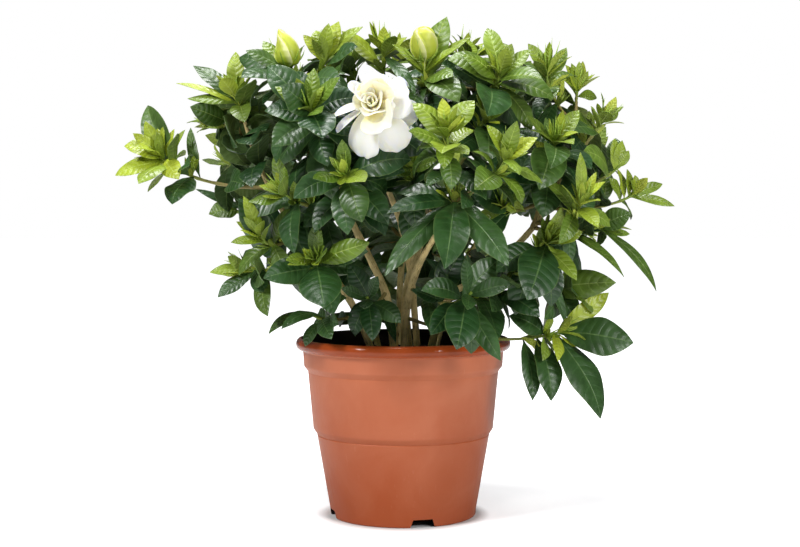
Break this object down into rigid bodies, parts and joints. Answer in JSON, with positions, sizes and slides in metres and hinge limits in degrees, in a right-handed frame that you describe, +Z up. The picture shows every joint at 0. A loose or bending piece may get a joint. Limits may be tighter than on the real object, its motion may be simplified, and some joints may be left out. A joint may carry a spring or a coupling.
{
  "type": "potted gardenia",
  "caption": "Flowering evergreen gardenia shrub in a plastic nursery pot: woody canes rise from peat and carry glossy leaves, twisted buds and a double white flower.",
  "frame": {"origin": "centre of the pot's flat underside", "axes": "+Z up; the open flower faces -Y, the front; +X is to the right seen from the front"},
  "size_m": [0.5151, 0.396, 0.4588],
  "materials": {
    "pot_plastic": "moulded polypropylene, semi-matt terracotta colour, glossier on the rolled rim",
    "peat": "damp potting peat with crumbs and fibre",
    "bark": "rough fibrous bark, tan to grey brown",
    "leaf": "leathery evergreen leaf, waxy gloss, bright yellow-green when young",
    "petal_white": "soft waxy white petal",
    "petal_cream": "soft cream to pale yellow petal",
    "calyx": "smooth fresh green",
    "bud": "waxy yellow-green, twisted petals"
  },
  "bodies": {
    "root": {"bud_left": "bud", "bud_middle": "bud", "cane_centre": "bark", "cane_far_left": "bark", "cane_flower": "bark", "cane_left": "bark", "cane_middle": "bark", "cane_rear": "bark", "cane_rear_left": "bark", "cane_rear_right": "bark", "cane_right": "bark", "flower_calyx": "calyx", "flower_heart": "petal_cream", "peat": "peat", "petal_inner_a": "petal_cream", "petal_inner_b": "petal_cream", "petal_inner_c": "petal_cream", "petal_inner_d": "petal_cream", "petal_left": "petal_white", "petal_left_low": "petal_white", "petal_low_left": "petal_white", "petal_low_right": "petal_white", "petal_right": "petal_white", "petal_top": "petal_white", "petal_upper_left": "petal_white", "petal_upper_right": "petal_white", "pot": "pot_plastic", "shoot_bud": "leaf", "shoot_far_left": "leaf", "shoot_far_right": "leaf", "shoot_front": "leaf", "shoot_inner_left": "leaf", "shoot_inner_middle": "leaf", "shoot_inner_right": "leaf", "shoot_left_bud": "leaf", "shoot_left_front": "leaf", "shoot_left_high": "leaf", "shoot_left_inner": "leaf", "shoot_left_low": "leaf", "shoot_left_top": "leaf", "shoot_left_young": "leaf", "shoot_low_front": "leaf", "shoot_low_middle": "leaf", "shoot_low_right": "leaf", "shoot_low_right_upper": "leaf", "shoot_rear_left": "leaf", "shoot_rear_low": "leaf", "shoot_rear_right": "leaf", "shoot_rear_top": "leaf", "shoot_right_big": "leaf", "shoot_right_droop": "leaf", "shoot_right_front": "leaf", "shoot_right_high": "leaf", "shoot_right_middle": "leaf", "shoot_rim_left": "leaf", "shoot_top_middle": "leaf", "shoot_top_right_a": "leaf", "shoot_top_right_b": "leaf", "shoot_top_right_c": "leaf"}
  },
  "joints": []
}
